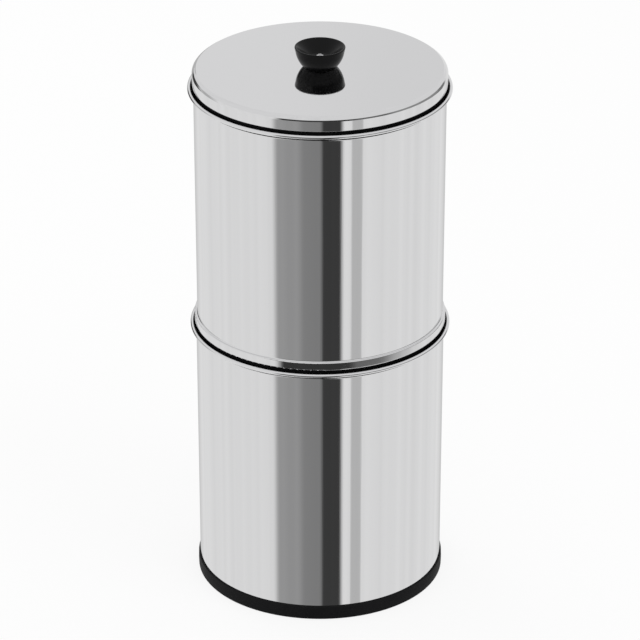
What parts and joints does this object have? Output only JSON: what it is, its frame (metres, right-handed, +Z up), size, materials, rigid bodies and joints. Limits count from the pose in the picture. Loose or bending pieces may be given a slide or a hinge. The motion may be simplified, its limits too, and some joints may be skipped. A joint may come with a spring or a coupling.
{
  "type": "gravity water filter with tap",
  "caption": "Polished stacked cylinder water filter with nesting chambers, ceramic candles, knobbed lid and a lever tap near the base.",
  "frame": {"origin": "on the chambers' axis, at the plane that the base ring stands on", "axes": "+Z up along the chambers' axis, -Y towards the tap, +X to the right of someone who faces the tap"},
  "size_m": [0.226, 0.2638, 0.4956],
  "materials": {
    "chamber_steel": "mirror-polished stainless steel",
    "lid_steel": "mirror-polished stainless steel",
    "base_rubber": "satin black rubber",
    "knob_phenolic": "polished black phenolic",
    "fastener_steel": "bright steel screw, washer and nut",
    "tap_plastic": "moulded black plastic",
    "tap_stem_steel": "turned stainless steel",
    "tap_spring_steel": "drawn spring wire",
    "seal_silicone": "translucent white silicone",
    "tap_seal_rubber": "black rubber",
    "candle_ceramic": "matte porous ceramic",
    "candle_plastic": "moulded white plastic",
    "candle_carbon": "pressed activated carbon"
  },
  "bodies": {
    "lower": {"lower_chamber": "chamber_steel", "base_ring": "base_rubber", "tap_body": "tap_plastic", "tap_outer_seal": "tap_seal_rubber", "tap_inner_seal": "tap_seal_rubber", "tap_lock_nut": "tap_plastic", "tap_bonnet": "tap_plastic", "tap_spring": "tap_spring_steel"},
    "tap_stem": {"tap_stem": "tap_stem_steel", "tap_stem_o_ring": "tap_seal_rubber", "tap_valve_washer": "seal_silicone", "tap_lever_pin": "tap_stem_steel"},
    "tap_lever": {"tap_lever": "tap_plastic"},
    "upper": {"upper_chamber": "chamber_steel", "left_candle_cup": "candle_plastic", "left_candle_ceramic_shell": "candle_ceramic", "left_candle_carbon_core": "candle_carbon", "left_candle_seal": "seal_silicone", "left_candle_wing_nut": "candle_plastic", "right_candle_cup": "candle_plastic", "right_candle_ceramic_shell": "candle_ceramic", "right_candle_carbon_core": "candle_carbon", "right_candle_seal": "seal_silicone", "right_candle_wing_nut": "candle_plastic", "front_plug_bolt": "candle_plastic", "front_plug_seal": "seal_silicone", "front_plug_nut": "candle_plastic", "rear_plug_bolt": "candle_plastic", "rear_plug_seal": "seal_silicone", "rear_plug_nut": "candle_plastic"},
    "lid": {"lid": "lid_steel", "lid_knob": "knob_phenolic", "knob_screw": "fastener_steel", "knob_washer": "fastener_steel", "knob_nut": "fastener_steel"}
  },
  "joints": [
    {"name": "upper_lift", "type": "slide", "parent": "lower", "child": "upper", "axis": [0, 0, 1], "range_m": [0, 0.2]},
    {"name": "lid_lift", "type": "slide", "parent": "upper", "child": "lid", "axis": [0, 0, 1], "range_m": [0, 0.12]},
    {"name": "valve_lift", "type": "slide", "parent": "lower", "child": "tap_stem", "axis": [0, 0, 1], "range_m": [0, 0.004], "deforming": ["tap_spring"]},
    {"name": "lever_tilt", "type": "hinge", "parent": "tap_stem", "child": "tap_lever", "pos_m": [0, -0.13723, 0.0729], "axis": [1, 0, 0], "range_deg": [0, 70], "stiffness_Nm_per_rad": 0.02, "springref_deg": -34.38}
  ],
  "couplings": [
    {"joint": "valve_lift", "follows": "lever_tilt", "m_per_rad": 0.003274}
  ]
}
